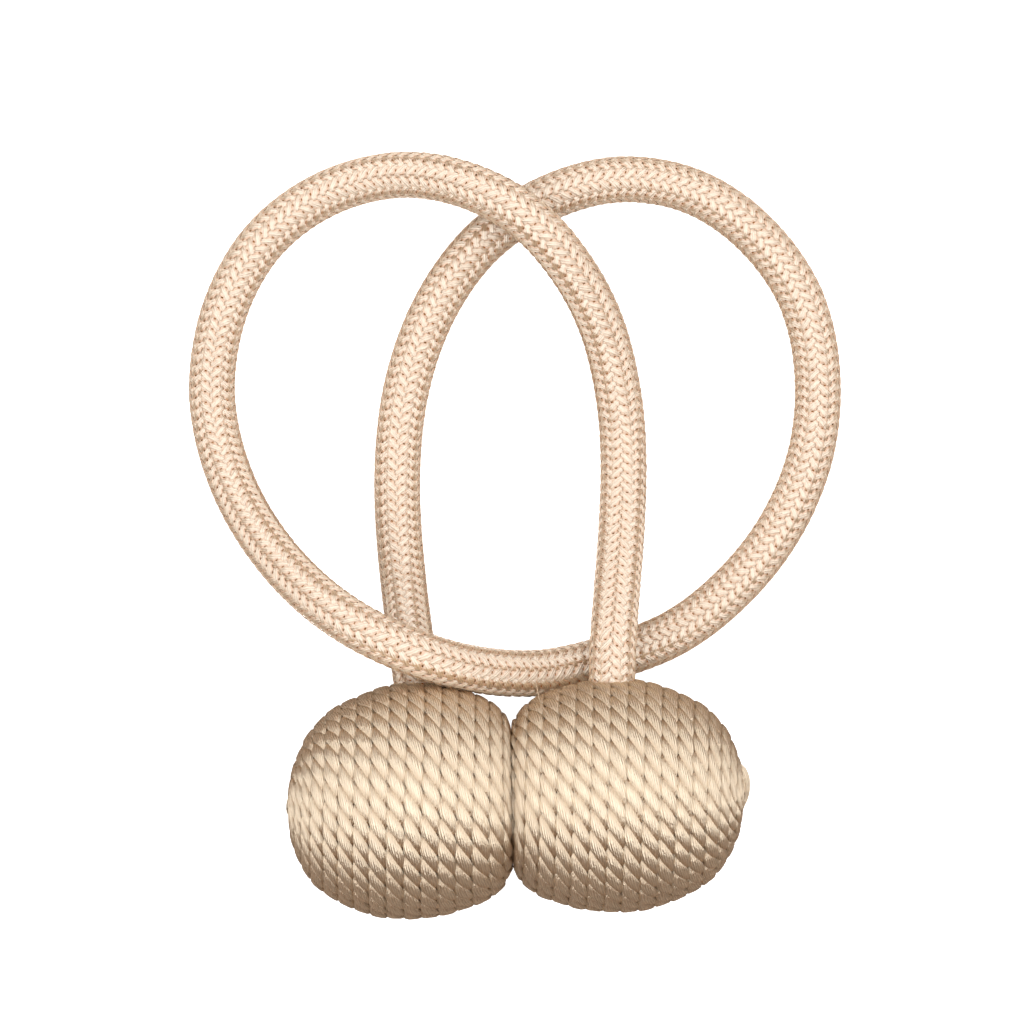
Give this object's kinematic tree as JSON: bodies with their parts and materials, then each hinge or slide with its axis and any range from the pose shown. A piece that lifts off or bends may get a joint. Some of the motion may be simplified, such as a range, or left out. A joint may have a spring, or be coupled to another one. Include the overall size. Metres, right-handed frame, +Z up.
{
  "type": "magnetic curtain tieback",
  "caption": "Curtain tieback: a pair of rope-wound magnetic balls, held face to face, on one springy braided cord that lies in two crossing loops.",
  "frame": {"origin": "on the table under the middle of the pair of balls", "axes": "+X along the common winding axis of the balls, from the left one to the right one; +Y from the balls up the loops of the cord; +Z up from the table"},
  "size_m": [0.0977, 0.1145, 0.0345],
  "materials": {
    "wound_rope": "satin twisted rope, cream",
    "braided_cord": "satin braid, cream"
  },
  "bodies": {
    "root": {"ball_left": "wound_rope", "ball_right": "wound_rope", "cord": "braided_cord"}
  },
  "joints": []
}
